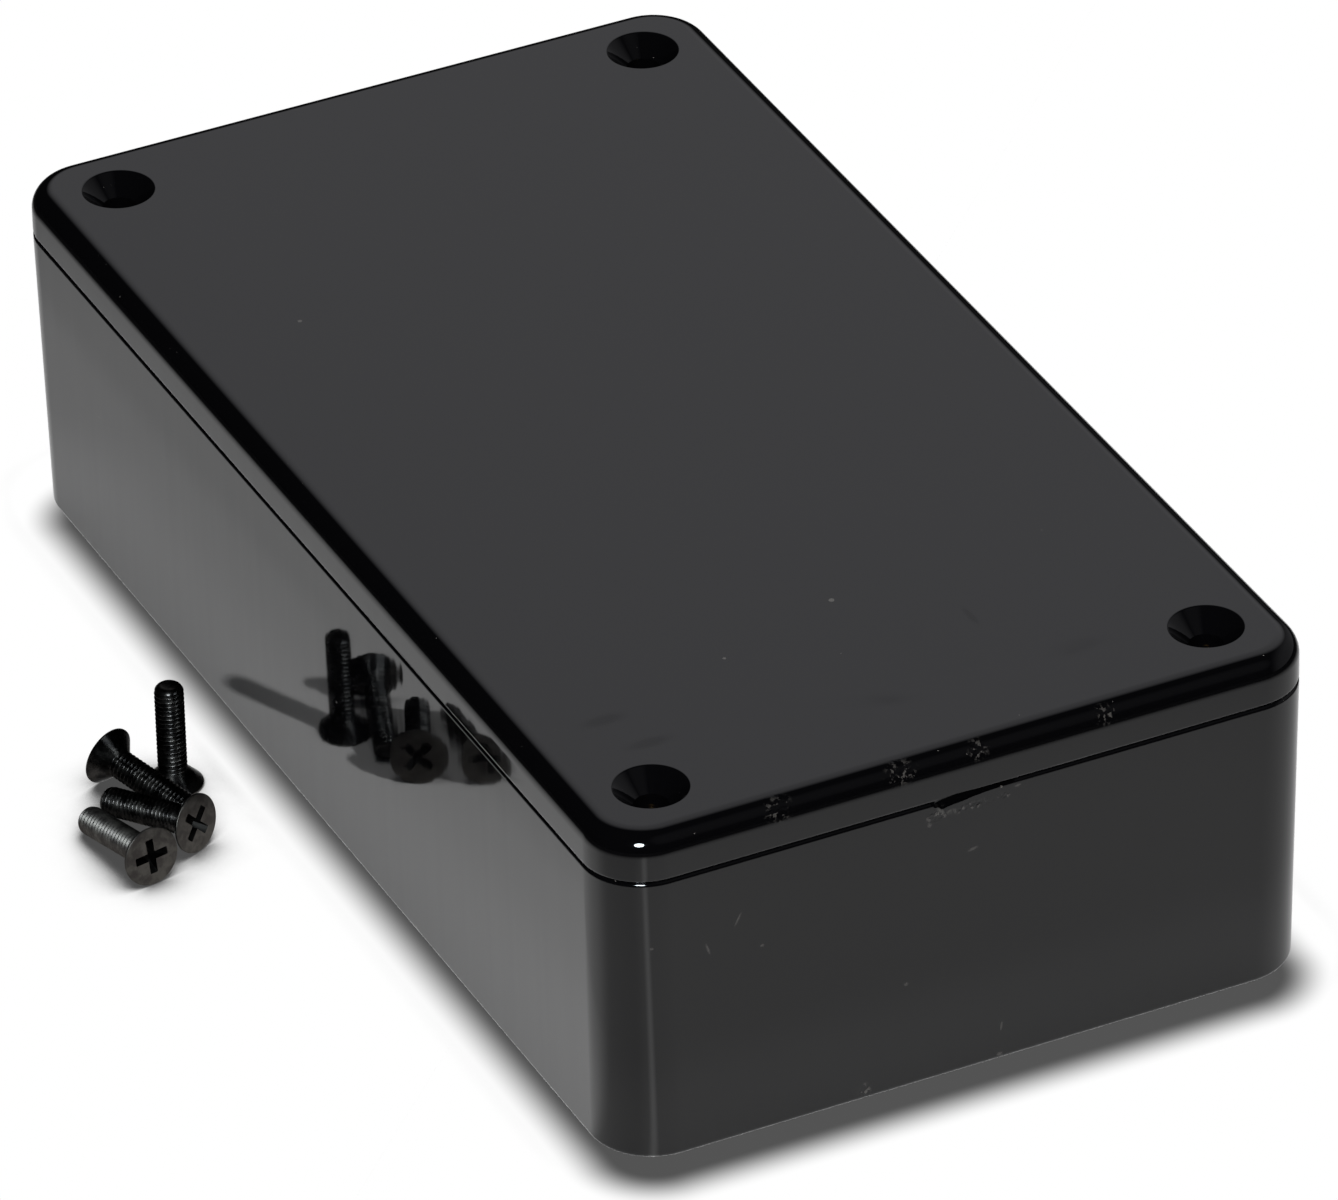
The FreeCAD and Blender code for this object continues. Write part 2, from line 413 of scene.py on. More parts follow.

# %% [markdown]
# The marks of handling have a place each. A pale one is a short scratch or a grain of dirt. A scuff
# is a patch where the skin is broken into small facets, which then mirror a bit of everything: there
# are some along the near edge of the lid and a burst of them where the sprue was torn off. On top,
# fingers left a few smears, which blur what the gloss mirrors. Each row below is a middle, two half
# sizes in millimetres and, where a mark leans, its angle in degrees.

# %% Place the marks
pale_marks = [
    (-24.7, 25.3, 1.1, 0.16, 62), (-27.9, 22.9, 1.0, 0.18, 108), (-22.2, 21.5, 0.3, 0.24),
    (-33.6, 24.5, 0.26, 0.22), (0.2, 25.5, 0.8, 0.24, 12), (-7.0, 12.1, 0.34, 0.28),
    (3.0, 0.7, 0.45, 0.34), (3.2, 3.9, 0.8, 0.18, 84), (-3.3, 31.0, 0.6, 0.24, 122),
    (-2.3, 30.6, 0.5, 0.18, 20), (-4.4, 29.6, 0.35, 0.28), (5.0, 31.3, 0.5, 0.2, 8)]
scuffs = [
    (-3.6, 30.4, 1.7, 1.2), (0.2, 30.5, 3.2, 0.75), (3.5, 30.6, 1.1, 0.6), (-20.0, 36.2, 2.0, 1.6),
    (-7.1, 36.3, 2.1, 1.6), (1.1, 36.3, 1.4, 1.3), (14.7, 36.1, 1.5, 1.2), (-11.5, 1.2, 1.1, 1.1)]
smears = [
    (10.5, -49.7, 0.7, 3.4), (17.0, -59.0, 6.5, 2.4), (5.5, -57.0, 4.5, 1.6),
    (-5.6, -58.0, 9.5, 2.2, -23), (-28.6, -49.5, 4.2, 1.7), (-26.5, -55.0, 4.5, 1.6)]
mark_depth = 2.5
mark_edge = (0.2, 1)
out_of_reach = 9


def inside_marks(tree, place, rows, upright):
    """One inside egg-shaped marks, which are on the near wall when upright and on top otherwise."""
    nearest = out_of_reach
    for across, along, length, width, *lean in rows:
        tilt = math.radians(lean[0]) if lean else 0
        middle, size = (across, along, box_height), (length, width, mark_depth)
        turn_back = (0, 0, tilt)
        if upright:
            middle, size = (across, -half_length, along), (length, mark_depth, width)
            turn_back = (0, -tilt, 0)
        if tilt:
            fitted = add(tree, "ShaderNodeMapping", {
                "Vector": place, "Location": [part * MM for part in middle], "Rotation": turn_back,
                "Scale": [part * MM for part in size]}, vector_type="TEXTURE").outputs["Vector"]
        else:
            fitted = vectors(tree, "MULTIPLY_ADD", place, [spacing(part) for part in size],
                             [-at / part for at, part in zip(middle, size)])
        nearest = maths(tree, "MINIMUM", vectors(tree, "LENGTH", fitted), nearest)
    return maths(tree, "SUBTRACT", 1, band(tree, nearest, *mark_edge))


print("marks", len(pale_marks), "scuffs", len(scuffs), "smears", len(smears))

# %% [markdown]
# Specks, scratches and crumbs share one mask, which whitens and dulls the plastic. Smears only dull
# it. Three bumps follow each other on the bowed normal: the waves, the streaks and the facets. An
# image could hold all this, but it would need the box unfolded flat and would blur close by.

# %% Mould the gloss black ABS
abs_ior = 1.53
gloss_range = (0.03, 0.07)
noise_range = (0.3, 0.7)
wave_spacing = 22
wave_height = 0.006
streak_height = 0.012
facet_spacing = 0.45
facet_height = 0.14
crumb_edge = (0.55, 0.65)
smudge_spacing = 14
smear_edge = (0.2, 0.5)
smear_roughness = 0.25
speck_roughness = 0.5
rounding_start = (0.1, 0.3)
rounding_end = (0.9, 0.99)
fine_dust_gap, fine_dust_share = 0.9, 0.55
stray_dust_gap, stray_dust_share = 3.4, 0.08
fine_paleness, stray_paleness, mark_paleness, crumb_paleness = 0.4, 0.25, 0.13, 0.2


def gloss_abs(name):
    material, tree, shader, place = new_material(name)
    normal = add(tree, "ShaderNodeNewGeometry").outputs["Normal"]
    facing = add(tree, "ShaderNodeSeparateXYZ", {"Vector": normal})
    upward = facing.outputs["Z"]
    rounded = times(tree, band(tree, upward, *rounding_start),
                    maths(tree, "SUBTRACT", 1, band(tree, upward, *rounding_end)))
    fine = times(tree, dust(tree, place, fine_dust_gap, fine_dust_share), rounded)
    pale = inside_marks(tree, place, pale_marks, True)
    facets = noise(tree, place, facet_spacing, 2)
    scuffed = inside_marks(tree, place, scuffs, True)
    crumbs = times(tree, scuffed, band(tree, facets, *crumb_edge))
    stray = dust(tree, place, stray_dust_gap, stray_dust_share)
    specks = times(tree, stray, stray_paleness)
    for found, share in ((fine, fine_paleness), (pale, mark_paleness), (crumbs, crumb_paleness)):
        specks = maths(tree, "MAXIMUM", specks, times(tree, found, share))
    smudges = noise(tree, place, smudge_spacing, 3, 0.55)
    tint = blend(tree, specks, "#040405", "#8d8a86")
    polish = mapped(tree, smudges, noise_range, gloss_range)
    smeared = times(tree, inside_marks(tree, place, smears, False), band(tree, smudges, *smear_edge))
    dulled = maths(tree, "ADD", polish, times(tree, specks, speck_roughness))
    dulled = maths(tree, "ADD", dulled, times(tree, smeared, smear_roughness))
    bowed = bowed_walls(tree, place, normal, facing.outputs["X"])
    slow = bumped(tree, noise(tree, place, wave_spacing, 0), wave_height, Normal=bowed)
    drawn = bumped(tree, upright_streaks(tree, place, upward), streak_height, Normal=slow)
    broken = bumped(tree, facets, facet_height, scuffed, Normal=drawn)
    fill(tree, shader, {"Base Color": tint, "Roughness": dulled, "Normal": broken, "IOR": abs_ior})
    return material


housing_abs = gloss_abs("gloss black moulded ABS")
print("material", housing_abs.name)

# %% [markdown]
# ## The tray
#
# The tray is one moulding: drafted walls, a flat floor, four screw posts tied to the corners by webs,
# and pairs of card guides. The outside and the cavity are two stacked blocks. The posts, webs and
# guides are joined in, and the bores and the ragged nick that the sprue left are cut away.

# %% Shape the tray's shell
def wall_face_at(height):
    """How far the inner face of a wall stands in from the plan at a height."""
    return wall + wall_draft * (1 - height / base_height)


def tray_outside():
    foot = rounded_edge(wall_draft, foot_corner_radius, 0, foot_edge_radius, -1)
    rim = rounded_edge(0, corner_radius, base_height, seam_edge_radius, 1)
    return stacked_block(foot + rim)


def tray_cavity():
    low = wall_face_at(floor_thickness)
    floor_edge = rounded_edge(low, foot_corner_radius - wall, floor_thickness, floor_edge_radius, -1)
    flare = rim_edge_radius
    return stacked_block(floor_edge + [
        (wall, corner_radius - wall, base_height - flare),
        (wall - flare, corner_radius - wall + flare, base_height),
        (wall - flare, corner_radius - wall + flare, base_height + overshoot)])


print("wall", round(wall_face_at(floor_thickness), 3), "mm at the floor and", wall, "mm at the rim")

# %% [markdown]
# The posts stand 8.25 mm in from both walls, under the lid's holes. Each has a pocket for a threaded
# brass sleeve and a narrower pilot hole below it. Card guides come in pairs with a slot between them,
# so that a circuit board can slide in, and the values of each wall are their number and pitch.

# %% Add posts, webs and card guides
screw_inset = 8.25
post_x = half_width - screw_inset
post_y = half_length - screw_inset
post_radius = 4.0
post_gap = 0.2
post_top = base_height - post_gap
post_web = 1.4
web_gap = 0.6
web_top = lip_bottom - web_gap
sleeve_radius = 2.3
sleeve_length = 5.8
sleeve_play = 0.03
pocket_radius = sleeve_radius + sleeve_play
pilot_radius = 1.8
pilot_depth = 12.0
rib_thickness = 1.2
rib_reach = 1.5
card_slot = 1.8
long_wall_guides = (5, 18.0)
short_wall_guides = (2, 22.0)
rib_drop = 4.0
rib_top = base_height - rib_drop
root = floor_thickness / 2
corners = [(sx, sy) for sx in (-1, 1) for sy in (-1, 1)]
post_places = [(sx * post_x, sy * post_y) for sx, sy in corners]


def tray_posts():
    soft = 0.2
    return turned([(0, root), (post_radius, root), (post_radius, post_top - soft),
                   (post_radius - soft, post_top), (0, post_top)], post_places)


def tray_webs(along_length):
    bm = bmesh.new()
    for sx, sy in corners:
        x, y = sx * post_x, sy * post_y
        across = (-post_web / 2, post_web / 2)
        if along_length:
            spans = [(x + side for side in across), (y, sy * (half_length - wall / 2))]
        else:
            spans = [(x, sx * (half_width - wall / 2)), (y + side for side in across)]
        block(bm, *spans, (root, web_top))
    return tidy(bm)


def guide_spans(count, pitch):
    """Where each rib starts and ends along its wall, two ribs to a slot."""
    spans = []
    for place in range(count):
        middle = (place - (count - 1) / 2) * pitch
        for edge in (-1, 1):
            near = middle + edge * card_slot / 2
            spans.append((near, near + edge * rib_thickness))
    return spans


def card_guides():
    bm = bmesh.new()
    reach = wall_face_at(floor_thickness) + rib_reach
    for side in (-1, 1):
        across, along = [(side * (half - wall / 2), side * (half - reach))
                         for half in (half_width, half_length)]
        for span in guide_spans(*long_wall_guides):
            block(bm, across, span, (root, rib_top))
        for span in guide_spans(*short_wall_guides):
            block(bm, span, along, (root, rib_top))
    return tidy(bm)


def post_bores():
    end, shoulder, past = post_top - pilot_depth, post_top - sleeve_length, post_top + overshoot
    flare = 0.15
    mouth = pocket_radius + flare
    return turned([(0, end), (pilot_radius, end), (pilot_radius, shoulder), (pocket_radius, shoulder),
                   (pocket_radius, post_top - flare), (mouth, post_top), (mouth, past), (0, past)],
                  post_places)


print("posts at", round(post_x, 2), round(post_y, 2), "mm, guides", long_wall_guides, short_wall_guides)

# %% [markdown]
# The sprue is the stub of plastic left where the melt entered the mould. It was snapped off here and
# tore a shallow wedge out of the rim, tall on the left and running out to the right, and a little out
# of the lid above. The outlines are uneven, so each wedge is a face drawn from listed points, pushed
# through.

# %% Tear the nick and assemble the tray
nick_left = -4.2
nick_outline = [
    (0.0, 0.6), (0.0, -0.2), (0.35, -0.55), (0.75, -0.6), (1.15, -0.98), (1.6, -0.85), (2.4, -0.74),
    (3.4, -0.66), (4.4, -0.5), (5.6, -0.38), (7.2, -0.3), (8.9, -0.2), (8.9, 0.6)]
nick_above = [
    (0.3, -0.5), (0.3, 0.2), (1.3, 0.42), (3.2, 0.36), (5.0, 0.28), (7.0, 0.2), (8.6, 0.1), (8.6, -0.5)]


def torn_wedge(shape):
    bm = bmesh.new()
    depth = 0.7
    points = [bm.verts.new((nick_left + x, -half_length - depth, base_height + z)) for x, z in shape]
    face = bm.faces.new(points)
    pushed = bmesh.ops.extrude_face_region(bm, geom=[face])["geom"]
    moved = [item for item in pushed if isinstance(item, bmesh.types.BMVert)]
    bmesh.ops.translate(bm, vec=(0, 2 * depth, 0), verts=moved)
    return tidy(bm)


tray = combine(tray_outside(), tray_cavity(), "DIFFERENCE")
for part in (tray_webs(False), tray_webs(True), tray_posts(), card_guides()):
    tray = combine(tray, part, "UNION")
for part in (post_bores(), torn_wedge(nick_outline)):
    tray = combine(tray, part, "DIFFERENCE")
finished(tray, "base_tray", "base", "base", housing_abs)

# %% [markdown]
# ## The lid
#
# The lid is a shallow cover with a generously rounded top edge. A lip under it drops inside the
# walls and keeps it in place, and a round boss behind each hole thickens the plate.

# %% Mould the lid
lip_clearance = 0.15
lip_offset = wall + lip_clearance
lip_thickness = 1.2
lip_foot_radius = 0.3
hollow_edge_radius = 0.5
boss_radius = 4.6
hole_radius = 1.7
sink_radius = 3.7
sink_edge_radius = 0.3
sink_angle = math.radians(45)
lid_ceiling = box_height - lid_plate
lid_top_steps = 12


def lid_cover():
    seam = rounded_edge(0, corner_radius, base_height, seam_edge_radius, -1)
    top = rounded_edge(0, corner_radius, box_height, lid_edge_radius, 1, steps=lid_top_steps)
    return stacked_block(seam + top)


def lid_lip():
    radius = corner_radius - lip_offset
    foot = rounded_edge(lip_offset, radius, lip_bottom, lip_foot_radius, -1, steps=3)
    return stacked_block(foot + [(lip_offset, radius, base_height + wall / 2)])


def lid_hollow():
    inset = lip_offset + lip_thickness
    flare = 0.2
    radius = corner_radius - inset
    mouth = [(inset - flare, radius + flare, height) for height in (lip_bottom - overshoot, lip_bottom)]
    top = rounded_edge(inset, radius, lid_ceiling, hollow_edge_radius, 1, steps=4)
    return stacked_block(mouth + [(inset, radius, lip_bottom + flare)] + top)


def lid_bosses():
    soft = 0.2
    top = box_height - lid_plate / 2
    bosses = turned([(0, base_height), (boss_radius - soft, base_height),
                     (boss_radius, base_height + soft), (boss_radius, top), (0, top)], post_places)
    inner = stacked_block([(lip_offset, corner_radius - lip_offset, height)
                           for height in (base_height - overshoot, box_height)])
    return combine(bosses, inner, "INTERSECT")


def screw_holes():
    """Countersunk holes whose mouths roll over softly into the top face."""
    low, high = lip_bottom - overshoot, box_height + overshoot
    widening = 0.12
    mouth = []
    for roll in rolls(sink_angle, edge_steps):
        drawn_in = math.sin(roll) - math.sin(sink_angle)
        mouth.append((sink_radius + sink_edge_radius * drawn_in + widening,
                      box_height - sink_edge_radius * (1 - math.cos(sink_angle - roll))))
    profile = [(0, low), (hole_radius, low), (hole_radius, box_height - (sink_radius - hole_radius))]
    profile += mouth + [(mouth[-1][0], high), (0, high)]
    return turned(profile, post_places)


lid = combine(lid_cover(), lid_lip(), "UNION")
lid = combine(lid, lid_hollow(), "DIFFERENCE")
lid = combine(lid, lid_bosses(), "UNION")
lid = combine(lid, screw_holes(), "DIFFERENCE")
lid = combine(lid, torn_wedge(nick_above), "DIFFERENCE")
finished(lid, "lid_cover", "lid", "lid", housing_abs)

# %% [markdown]
# ## Black-finished steel
#
# The screws are carbon steel with a thin black conversion finish, which is chemical and not paint, so
# the metal still glints through it on threads and rims. It is a metal with a very dark warm colour
# and a satin surface, mottled where oil and handling changed it.

# %% Blacken the steel
mottle_spacing = 1.1
mottle_edge = (0.35, 0.65)
satin_spread = 0.07
grain_spacing = 0.16
grain_height = 0.008
fine_strength = 0.3
rim_tint = 0.5


def black_steel(name, face_code, dark_code, roughness):
    material, tree, shader, place = new_material(name)
    mottle = noise(tree, place, mottle_spacing, 4, 0.6)
    tint = blend(tree, band(tree, mottle, *mottle_edge), dark_code, face_code)
    satin = mapped(tree, mottle, noise_range, (roughness - satin_spread, roughness + satin_spread))
    grain = bumped(tree, noise(tree, place, grain_spacing, 2), grain_height, fine_strength)
    fill(tree, shader, {"Base Color": tint, "Roughness": satin, "Normal": grain, "Metallic": 1,
                        "Specular Tint": (rim_tint, rim_tint, rim_tint, 1)})
    return material


# The lighter copy of the steel is painted light, and the darkest copy is painted shade for the
# recesses.
painted_lit_steel = black_steel("satin black steel painted lighter", "#55524e", "#3e3b39", 0.44)
dark_steel = black_steel("deep black finished steel", "#3a3836", "#201f1f", 0.26)
# the darkest copy, put into the cross recess, is painted shade
painted_shade_steel = black_steel("black finished steel painted darker as shade", "#1b1a19", "#0e0d0d", 0.5)
print("materials", painted_lit_steel.name, dark_steel.name, painted_shade_steel.name)

# %% [markdown]
# ## The screw
#
# A thread is one profile swept along a helix. Spinning that profile with a small rise at each step
# makes the helix, and the turns merge where they meet. The sweep starts and ends ragged, so it is cut
# flat at both ends and intersected with a turned blank, which also rounds the tip. The head is a
# turned cone with a soft rim, and a cross-shaped punch with tapered arms cuts its recess. Half a
# tooth is drawn from root to crest, as how deep it lies and which share of the pitch it has reached.

# %% Cut a thread along a helix
screw_length = 11.7
screw_radius = 1.5
head_radius = 3.05
head_land = 0.2
tip_chamfer = 0.7
nose_radius = 0.85
thread_pitch = 0.5
thread_depth = 0.25
thread_steps = 40
half_tooth = [(thread_depth, 0), (0.05, 0.34), (0.015, 0.42), (0, 0.47)]
ragged_turns = 2


def thread(low, high, crest):
    """A threaded rod between two heights, closed at its ends."""
    bm = bmesh.new()
    turns = math.ceil((high - low) / thread_pitch) + ragged_turns + 1
    start = low - ragged_turns * thread_pitch
    tooth = [(crest - drop, share) for drop, share in half_tooth]
    tooth += [(crest - drop, 1 - share) for drop, share in reversed(half_tooth)]
    points = [bm.verts.new((radius, 0, start + share * thread_pitch)) for radius, share in tooth]
    edges = [bm.edges.new(pair) for pair in zip(points, points[1:])]
    bmesh.ops.spin(bm, geom=points + edges, cent=(0, 0, 0), axis=(0, 0, 1),
                   dvec=(0, 0, thread_pitch / thread_steps), angle=math.tau * turns,
                   steps=thread_steps * turns, use_merge=False, use_duplicate=False)
    bmesh.ops.remove_doubles(bm, verts=bm.verts[:], dist=merge_distance * 10)
    for height, outward in ((low, -1), (high, 1)):
        everything = bm.verts[:] + bm.edges[:] + bm.faces[:]
        bmesh.ops.bisect_plane(bm, geom=everything, plane_co=(0, 0, height), plane_no=(0, 0, outward),
                               clear_outer=True)
    loose = [edge for edge in bm.edges if edge.is_boundary]
    bmesh.ops.holes_fill(bm, edges=loose, sides=0)
    return tidy(bm)


print("thread", 2 * screw_radius, "mm, pitch", thread_pitch, "mm")

# %% [markdown]
# The punch is two bars that cross, each narrower and shorter at its foot. The blank is turned in one
# piece from the face of the head to the root of the thread. The face of the head gets a lighter copy
# of the steel, which is painted light, and the recess a darker one, which is painted shade, so those
# faces get their own steel.

# %% Make one screw
cross_length = 3.7
cross_width = 0.85
cross_depth = 1.2
cross_foot = (0.5, 0.85)
cross_softness = 0.1
thread_start = head_land + 0.6
tip_play = 0.1
lit_face_depth = 0.12


def punched(solid):
    """Cuts the two bars of the cross one after the other, each through the face of the head."""
    lift = 0.2
    mouth = [1 + (1 - share) * lift / cross_depth for share in cross_foot]
    for heading in (0, 90):
        bm = bmesh.new()
        place = Matrix.Translation((0, 0, (cross_depth - lift) / 2))
        place @= Matrix.Diagonal((cross_length, cross_width, cross_depth + lift, 1))
        bar = bmesh.ops.create_cube(bm, size=1, matrix=place)["verts"]
        for share, ends in ((mouth, [vert for vert in bar if vert.co.z < 0]),
                            (cross_foot, [vert for vert in bar if vert.co.z > 0])):
            bmesh.ops.scale(bm, vec=(*share, 1), verts=ends)
        upright = [edge for edge in bm.edges
                   if abs(edge.verts[0].co.z - edge.verts[1].co.z) > cross_depth]
        bmesh.ops.bevel(bm, geom=upright, offset=cross_softness, segments=2, profile=0.5,
                        affect="EDGES", material=-1)
        bmesh.ops.rotate(bm, cent=(0, 0, 0), matrix=Matrix.Rotation(math.radians(heading), 3, "Z"),
                         verts=bm.verts[:])
        solid = combine(solid, tidy(bm), "DIFFERENCE")
    return solid


def turned_head():
    """The flat face, a soft rim, the cone and a short neck."""
    rim = 0.1
    cone_end = head_land + (head_radius - screw_radius)
    profile = [(0, 0), (head_radius - rim, 0)]
    for roll in rolls(math.radians(90), 4)[1:]:
        profile.append((head_radius - rim + rim * math.sin(roll), rim - rim * math.cos(roll)))
    profile += [(head_radius, head_land), (screw_radius, cone_end),
                (screw_radius - thread_depth, cone_end + thread_depth), (0, cone_end + thread_depth)]
    return turned(profile)


def tip_envelope():
    """The room that the thread may fill, with a round nose."""
    room = screw_radius + tip_play
    profile = [(0, 0), (room, 0), (room, screw_length - nose_radius - tip_play)]
    for roll in rolls(math.radians(90), 6):
        profile.append((screw_radius - nose_radius + nose_radius * math.cos(roll),
                        screw_length - nose_radius + nose_radius * math.sin(roll)))
    return turned(profile + [(0, screw_length)])


def name_lit_face_and_shaded_recess(bm):
    """Gives the head's face the second steel, painted light, and its recess the third, painted shade.
    """
    deep, wide = cross_depth + 0.01, cross_length / 2 + 0.1
    for face in bm.faces:
        middle = face.calc_center_median()
        if middle.z < lit_face_depth:
            face.material_index = 1
        elif middle.z < deep and math.hypot(middle.x, middle.y) < wide:
            face.material_index = 2
        else:
            face.material_index = 0
    return bm


def make_screw():
    rod = thread(thread_start, screw_length + 2 * tip_play, screw_radius)
    rod = combine(rod, tip_envelope(), "INTERSECT")
    return name_lit_face_and_shaded_recess(punched(combine(rod, turned_head(), "UNION")))


screw = make_screw()
print("screw faces", len(screw.faces))

# %% [markdown]
# ## The heap
#
# Each screw is modelled standing on its head. One was left that way. The other three lie on the rim
# of the head and the end of the shank, side by side. Each is turned about its own axis, tipped over,
# pointed and put down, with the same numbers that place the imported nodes: how far its head is off
# the long wall, where it is along that wall, its heading and its own turn in degrees.

# %% Lay the screws down
heap_rows = {
    "screw_standing": (9.9, 11.4, 0.0, 0.0),
    "screw_front": (18.9, -3.75, 99.6, -2.0),
    "screw_back": (12.6, -0.5, 117.0, 47.0),
    "screw_far": (15.45, 14.85, -69.0, 30.0),
}


def lying_pose():
    """Tilt and height of a screw that lies on the rim of its head and the end of its shank."""
    run = screw_length - tip_chamfer - head_land
    tilt = math.atan2(head_radius - screw_radius, run)
    height = head_land * math.sin(tilt) + head_radius * math.cos(tilt)
    return math.radians(90) + tilt, height


for node_name, (off, along, heading, spin) in heap_rows.items():
    tilt, height = (0.0, 0.0) if node_name == "screw_standing" else lying_pose()
    place = Matrix.Translation((-half_width - off, along, height))
    place @= Matrix.Rotation(math.radians(heading), 4, "Z")
    place @= Matrix.Rotation(tilt, 4, "Y")
    place @= Matrix.Rotation(math.radians(spin), 4, "Z")
    # The front screw is given the lighter steel all over, which is painted light.
    steel = painted_lit_steel if node_name == "screw_front" else dark_steel
    piece = finished(screw.copy(), "lid_" + node_name, "base", node_name, steel, place)
    for other in (painted_lit_steel, painted_shade_steel):
        piece.data.materials.append(other)
    print(node_name, "tilt", round(math.degrees(tilt), 2), "height", round(height, 3))

# %% [markdown]
# ## The brass sleeves
#
# A threaded sleeve sits in each post, flush with its top. It is turned brass: bright, a little
# yellow, with fine rings from the tool. Its outside has two knurled bands with a groove between
# them that the plastic flows into, and its bore is tapped with the screw's own thread.

# %% Turn and tap the sleeves
tarnish_spacing = 2.5
ring_spacing = 0.12
ring_height = 0.005
brass_roughness = 0.26
groove_depth = 0.25
groove_half_width = 0.5
knurl_steps = 36
knurl_rows = 4
knurl_gap = 0.06
knurl_height = 0.08


def turned_brass(name):
    material, tree, shader, place = new_material(name)
    tarnish = noise(tree, place, tarnish_spacing, 3)
    tint = blend(tree, tarnish, "#dcb66a", "#b98d42")
    rings = bumped(tree, noise(tree, place, ring_spacing, 1), ring_height, fine_strength)
    fill(tree, shader, {"Base Color": tint, "Roughness": brass_roughness, "Normal": rings,
                        "Metallic": 1})
    return material


brass = turned_brass("turned brass")


def sleeve_blank():
    waist = sleeve_radius - groove_depth
    low, high = [sleeve_length / 2 + side * groove_half_width for side in (-1, 1)]
    bore = screw_radius - thread_depth
    shares = [row / knurl_rows for row in range(knurl_rows + 1)]
    profile = [(bore, 0), (sleeve_radius, 0)]
    profile += [(sleeve_radius, low * share) for share in shares[1:]]
    profile += [(waist, low), (waist, high)]
    profile += [(sleeve_radius, high + (sleeve_length - high) * share) for share in shares]
    profile += [(screw_radius, sleeve_length), (bore, sleeve_length - thread_depth)]
    bm = turned(profile, steps=knurl_steps)
    bands = [face for face in bm.faces if abs(face.normal.z) < 0.1
             and math.hypot(*face.calc_center_median()[:2]) > sleeve_radius * 0.97]
    bmesh.ops.inset_individual(bm, faces=bands, thickness=knurl_gap, depth=-knurl_height)
    return bm


tap = thread(-overshoot, sleeve_length + overshoot, screw_radius)
sleeve = combine(sleeve_blank(), tap, "DIFFERENCE")
print("sleeve faces", len(sleeve.faces))
for sx, sy in corners:
    side = "left" if sx < 0 else "right"
    end = "near" if sy < 0 else "far"
    place = Matrix.Translation((sx * post_x, sy * post_y, post_top - sleeve_length))
    finished(sleeve.copy(), f"sleeve_{side}_{end}", "base", f"insert_{side}_{end}", brass,
             place)

# %% [markdown]
# ## The camera
#
# The photograph looks down on the box from the left of its near short wall through a long lens. The
# angle, distance and slight roll were solved from the box's edges and holes.

# %% Set the camera
def aimed(azimuth, elevation):
    """The direction from the box at an azimuth from the near side and an elevation."""
    return Vector((math.sin(azimuth) * math.cos(elevation), -math.cos(azimuth) * math.cos(elevation),
                   math.sin(elevation)))


azimuth = math.radians(-25.2514)
elevation = math.radians(32.847)
roll = math.radians(-1.4332)
distance = 1.2497
aim = Vector((-0.00787, -0.02076, 0.028))

back = aimed(azimuth, elevation)
level = (-back).cross(Vector((0, 0, 1))).normalized()
lifted = level.cross(-back)
camera_x = level * math.cos(roll) + lifted * math.sin(roll)
camera_y = lifted * math.cos(roll) - level * math.sin(roll)

camera = placed("camera", bpy.data.cameras.new("camera"))
camera.data.sensor_fit = "HORIZONTAL"
camera.data.sensor_width = 36
camera.data.lens = 344.5
camera.data.clip_start = 0.05
axes = Matrix((camera_x, camera_y, back)).transposed().to_4x4()
camera.matrix_world = Matrix.Translation(aim + back * distance) @ axes
bpy.context.scene.camera = camera
print("camera at", [round(value, 4) for value in camera.location])

# %% [markdown]
# ## The floor, the room and the light
#
# Black gloss plastic shows its surroundings more than itself. The lit paper round the box stands in
# its walls, one softbox stands in the top, and the dark studio behind them makes the rounded edges of
# the lid black. A little way from the box the paper is painted nearly black, a painted falloff of
# the light. The camera sees the floor and the room as plain white, with soft shade only where
# something stands close to the floor.

# %% Measure the floor from the box
def plan_distance(tree, split, shift=(0, 0)):
    """How far a place on the floor is outside the box's plan, which may be moved by a shift in mm."""
    beyond = []
    for axis, half, move in (("X", half_width, shift[0]), ("Y", half_length, shift[1])):
        centred = maths(tree, "ABSOLUTE", maths(tree, "SUBTRACT", split.outputs[axis], move * MM), 0)
        beyond.append(maths(tree, "SUBTRACT", centred, (half - foot_corner_radius) * MM))
    outer = add(tree, "ShaderNodeCombineXYZ", {
        "X": maths(tree, "MAXIMUM", beyond[0], 0), "Y": maths(tree, "MAXIMUM", beyond[1], 0)})
    away = vectors(tree, "LENGTH", outer.outputs["Vector"])
    inner = maths(tree, "MINIMUM", maths(tree, "MAXIMUM", *beyond), 0)
    return maths(tree, "SUBTRACT", maths(tree, "ADD", away, inner), foot_corner_radius * MM)


def mixed_level(tree, factor, low, high):
    """The first level where the factor is zero, the second where it is one."""
    return mapped(tree, factor, (0, 1), (low, high))


# %% [markdown]
# The walls mirror the paper, so its greys are painted light and shade laid out for them: light on the
# left and a little darker from 18 mm on, painted shade in front of the near wall, and painted light
# next to the foot. All of it is measured from the near left corner, whose rounding sweeps over the
# whole floor and shows the edge of each tone as an upright line. A narrow stripe of painted light,
# which points at the camera, gives that corner its light line.

# %% Lay out the paper
paper_level = 0.78
# brighter paper next to the foot of the box is painted light
painted_foot_light_gain = 1.25
# the paper is a little darker from 18 mm out beside the left wall
outer_band_level = 0.7
# darker paper in front of the near wall is painted shade
front_shade_level = 0.56
shaded_level = 0.45
# a bright stripe on the paper, mirrored by the near corner as its light line, is painted light
light_line_level = 1.0
# nearly black paper beyond the lit reach is a painted falloff of the light
falloff_shade_level = 0.02
outer_band = (0.016, 0.02)
lit_reach = (0.03, 0.14)
foot_light_reach = 0.018
front_start = (-0.1, 0.42)
shaded_start = (0.42, 0.7)
light_line_place = 0.37
light_line_fade = 0.12
corner_middle = (corner_radius - half_width, corner_radius - half_length)


